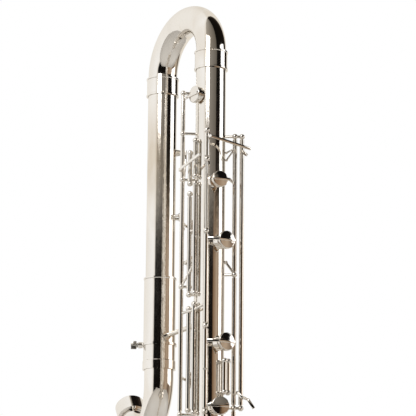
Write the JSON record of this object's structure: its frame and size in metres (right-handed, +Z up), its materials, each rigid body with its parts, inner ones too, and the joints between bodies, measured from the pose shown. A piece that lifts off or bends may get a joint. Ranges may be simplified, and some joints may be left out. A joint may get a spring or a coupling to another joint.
{
  "type": "contrabass clarinet",
  "caption": "Folded contrabass clarinet body of polished plated metal tube, with bows, posts, hinge rods, sprung padded keys, upright bell and floor peg. No mouthpiece.",
  "frame": {"origin": "middle of the floor peg's flat foot", "axes": "+Z up along the legs, -Y toward the bell and the listeners, +Y toward the player, +X to the right as seen from the bell side"},
  "size_m": [0.1764, 0.4385, 1.2508],
  "materials": {
    "silver_plate": "polished silver plate",
    "steel": "smooth turned steel",
    "pad_leather": "matt tan kid leather",
    "rubber": "matt black rubber"
  },
  "bodies": {
    "instrument": {"bell": "silver_plate", "bell_ferrule": "silver_plate", "bell_leg": "silver_plate", "body_ferrule": "silver_plate", "bottom_bow": "silver_plate", "bow_ferrule_body": "silver_plate", "bow_ferrule_neck": "silver_plate", "endpin_socket": "silver_plate", "leg_brace": "silver_plate", "low_ferrule": "silver_plate", "lower_body": "silver_plate", "neck_leg": "silver_plate", "top_bow": "silver_plate", "tuning_clamp": "silver_plate", "tuning_sleeve": "silver_plate", "upper_body": "silver_plate"},
    "tone_key_1": {"tone_key_1": "silver_plate", "tone_pad_1": "pad_leather"},
    "tone_key_2": {"tone_key_2": "silver_plate", "tone_pad_2": "pad_leather"},
    "tone_key_3": {"tone_key_3": "silver_plate", "tone_pad_3": "pad_leather"},
    "tone_key_4": {"tone_key_4": "silver_plate", "tone_pad_4": "pad_leather"},
    "tone_key_5": {"tone_key_5": "silver_plate", "tone_pad_5": "pad_leather"},
    "tone_key_6": {"tone_key_6": "silver_plate", "tone_pad_6": "pad_leather"},
    "tone_key_7": {"tone_key_7": "silver_plate", "tone_pad_7": "pad_leather"},
    "tone_key_8": {"tone_key_8": "silver_plate", "tone_pad_8": "pad_leather"},
    "tone_key_9": {"tone_key_9": "silver_plate", "tone_pad_9": "pad_leather"},
    "tone_key_10": {"tone_key_10": "silver_plate", "tone_pad_10": "pad_leather"},
    "throat_key": {"throat_key": "silver_plate", "throat_pad": "pad_leather"},
    "back_key": {"back_key": "silver_plate", "back_pad": "pad_leather"},
    "thumb_key": {"thumb_key": "silver_plate", "thumb_pad": "pad_leather"},
    "lower_back_key": {"lower_back_key": "silver_plate", "lower_back_pad": "pad_leather"},
    "low_d_key": {"low_d_key": "silver_plate", "low_d_pad": "pad_leather"},
    "low_c_key": {"low_c_key": "silver_plate", "low_c_pad": "pad_leather"},
    "register_key": {"register_key": "silver_plate", "register_pad": "pad_leather"},
    "crossing_lever": {"crossing_lever": "silver_plate"},
    "side_link": {"side_link": "silver_plate"},
    "index_lever": {"index_lever": "silver_plate"},
    "trill_lever": {"trill_lever": "silver_plate"},
    "neck": {"neck": "silver_plate", "neck_receiver": "silver_plate"},
    "clamp_screw": {"clamp_screw": "steel"},
    "endpin": {"endpin_rod": "steel", "endpin_tip": "rubber"},
    "endpin_screw": {"endpin_screw": "steel"}
  },
  "joints": [
    {"name": "tone_key_1_turn", "type": "hinge", "parent": "instrument", "child": "tone_key_1", "pos_m": [0.0215, 0.0455, 1.019], "axis": [0, 0, 1], "range_deg": [-9.6, 0], "stiffness_Nm_per_rad": 0.03, "springref_deg": 8.59},
    {"name": "tone_key_2_turn", "type": "hinge", "parent": "instrument", "child": "tone_key_2", "pos_m": [-0.0163, 0.0364, 0.9365], "axis": [0, 0, 1], "range_deg": [0, 10.49], "stiffness_Nm_per_rad": 0.03, "springref_deg": -8.59},
    {"name": "tone_key_3_turn", "type": "hinge", "parent": "instrument", "child": "tone_key_3", "pos_m": [-0.0163, 0.0364, 0.86475], "axis": [0, 0, 1], "range_deg": [0, 10.34], "stiffness_Nm_per_rad": 0.03, "springref_deg": -8.59},
    {"name": "tone_key_4_turn", "type": "hinge", "parent": "instrument", "child": "tone_key_4", "pos_m": [-0.0163, 0.0364, 0.82025], "axis": [0, 0, 1], "range_deg": [0, 14.06], "stiffness_Nm_per_rad": 0.03, "springref_deg": -8.59},
    {"name": "tone_key_5_turn", "type": "hinge", "parent": "instrument", "child": "tone_key_5", "pos_m": [0.0215, 0.0455, 0.753], "axis": [0, 0, 1], "range_deg": [-10.1, 0], "stiffness_Nm_per_rad": 0.03, "springref_deg": 8.59},
    {"name": "tone_key_6_turn", "type": "hinge", "parent": "instrument", "child": "tone_key_6", "pos_m": [-0.0163, 0.0364, 0.7245], "axis": [0, 0, 1], "range_deg": [0, 11.8], "stiffness_Nm_per_rad": 0.03, "springref_deg": -8.59},
    {"name": "tone_key_7_turn", "type": "hinge", "parent": "instrument", "child": "tone_key_7", "pos_m": [0.0215, 0.0455, 0.55], "axis": [0, 0, 1], "range_deg": [-10.2, 0], "stiffness_Nm_per_rad": 0.03, "springref_deg": 8.59},
    {"name": "tone_key_8_turn", "type": "hinge", "parent": "instrument", "child": "tone_key_8", "pos_m": [-0.0163, 0.0364, 0.54], "axis": [0, 0, 1], "range_deg": [0, 11.8], "stiffness_Nm_per_rad": 0.03, "springref_deg": -8.59},
    {"name": "tone_key_9_turn", "type": "hinge", "parent": "instrument", "child": "tone_key_9", "pos_m": [0.0215, 0.0455, 0.44], "axis": [0, 0, 1], "range_deg": [-10.42, 0], "stiffness_Nm_per_rad": 0.03, "springref_deg": 8.59},
    {"name": "tone_key_10_turn", "type": "hinge", "parent": "instrument", "child": "tone_key_10", "pos_m": [-0.0163, 0.0364, 0.4], "axis": [0, 0, 1], "range_deg": [0, 11.8], "stiffness_Nm_per_rad": 0.03, "springref_deg": -8.59},
    {"name": "throat_key_turn", "type": "hinge", "parent": "instrument", "child": "throat_key", "pos_m": [-0.027, 0.071, 1.118], "axis": [0, 0, 1], "range_deg": [-15.19, 0], "stiffness_Nm_per_rad": 0.03, "springref_deg": 8.59},
    {"name": "back_key_turn", "type": "hinge", "parent": "instrument", "child": "back_key", "pos_m": [-0.027, 0.071, 0.989], "axis": [0, 0, 1], "range_deg": [0, 9.5], "stiffness_Nm_per_rad": 0.03, "springref_deg": -8.59},
    {"name": "thumb_key_turn", "type": "hinge", "parent": "instrument", "child": "thumb_key", "pos_m": [-0.0215, 0.064, 0.9765], "axis": [0, 0, 1], "range_deg": [0, 12.17], "stiffness_Nm_per_rad": 0.03, "springref_deg": -8.59},
    {"name": "lower_back_key_turn", "type": "hinge", "parent": "instrument", "child": "lower_back_key", "pos_m": [-0.027, 0.071, 0.8655], "axis": [0, 0, 1], "range_deg": [0, 9.5], "stiffness_Nm_per_rad": 0.03, "springref_deg": -8.59},
    {"name": "low_d_key_turn", "type": "hinge", "parent": "instrument", "child": "low_d_key", "pos_m": [0.029, -0.072, 0.415], "axis": [0, 0, 1], "range_deg": [0, 7.9], "stiffness_Nm_per_rad": 0.03, "springref_deg": -8.59},
    {"name": "low_c_key_turn", "type": "hinge", "parent": "instrument", "child": "low_c_key", "pos_m": [0.029, -0.072, 0.335], "axis": [0, 0, 1], "range_deg": [0, 7.9], "stiffness_Nm_per_rad": 0.03, "springref_deg": -8.59},
    {"name": "register_key_turn", "type": "hinge", "parent": "instrument", "child": "register_key", "pos_m": [0.01898, 0.16591, 1.03], "axis": [0.4695, 0.8829, 0], "range_deg": [0, 3.2], "stiffness_Nm_per_rad": 0.03, "springref_deg": -8.59},
    {"name": "crossing_lever_turn", "type": "hinge", "parent": "instrument", "child": "crossing_lever", "pos_m": [-0.0163, 0.0364, 1.0775], "axis": [0, 0, 1], "range_deg": [0, 6], "stiffness_Nm_per_rad": 0.03, "springref_deg": -8.59},
    {"name": "side_link_turn", "type": "hinge", "parent": "instrument", "child": "side_link", "pos_m": [-0.027, 0.071, 1.071], "axis": [0, 0, 1], "range_deg": [-5, 0], "stiffness_Nm_per_rad": 0.03, "springref_deg": 8.59},
    {"name": "index_lever_turn", "type": "hinge", "parent": "instrument", "child": "index_lever", "pos_m": [0.0215, 0.0455, 0.8755], "axis": [0, 0, 1], "range_deg": [-5, 0], "stiffness_Nm_per_rad": 0.03, "springref_deg": 8.59},
    {"name": "trill_lever_turn", "type": "hinge", "parent": "instrument", "child": "trill_lever", "pos_m": [0.0283, 0.0428, 0.9495], "axis": [0, 0, 1], "range_deg": [-5, 0], "stiffness_Nm_per_rad": 0.03, "springref_deg": 8.59},
    {"name": "tuning_slide", "type": "slide", "parent": "instrument", "child": "neck", "axis": [0, 0, 1], "range_m": [-0.02, 0]},
    {"name": "clamp_screw_turn", "type": "hinge", "parent": "instrument", "child": "clamp_screw", "pos_m": [-0.02134, 0.18697, 0.889], "axis": [-0.8894, 0.4572, 0], "range_deg": [-180, 180]},
    {"name": "endpin_slide", "type": "slide", "parent": "instrument", "child": "endpin", "axis": [0, 0, 1], "range_m": [-0.02, 0]},
    {"name": "endpin_screw_turn", "type": "hinge", "parent": "instrument", "child": "endpin_screw", "pos_m": [0.016, 0, 0.117], "axis": [1, 0, 0], "range_deg": [-180, 180]}
  ]
}
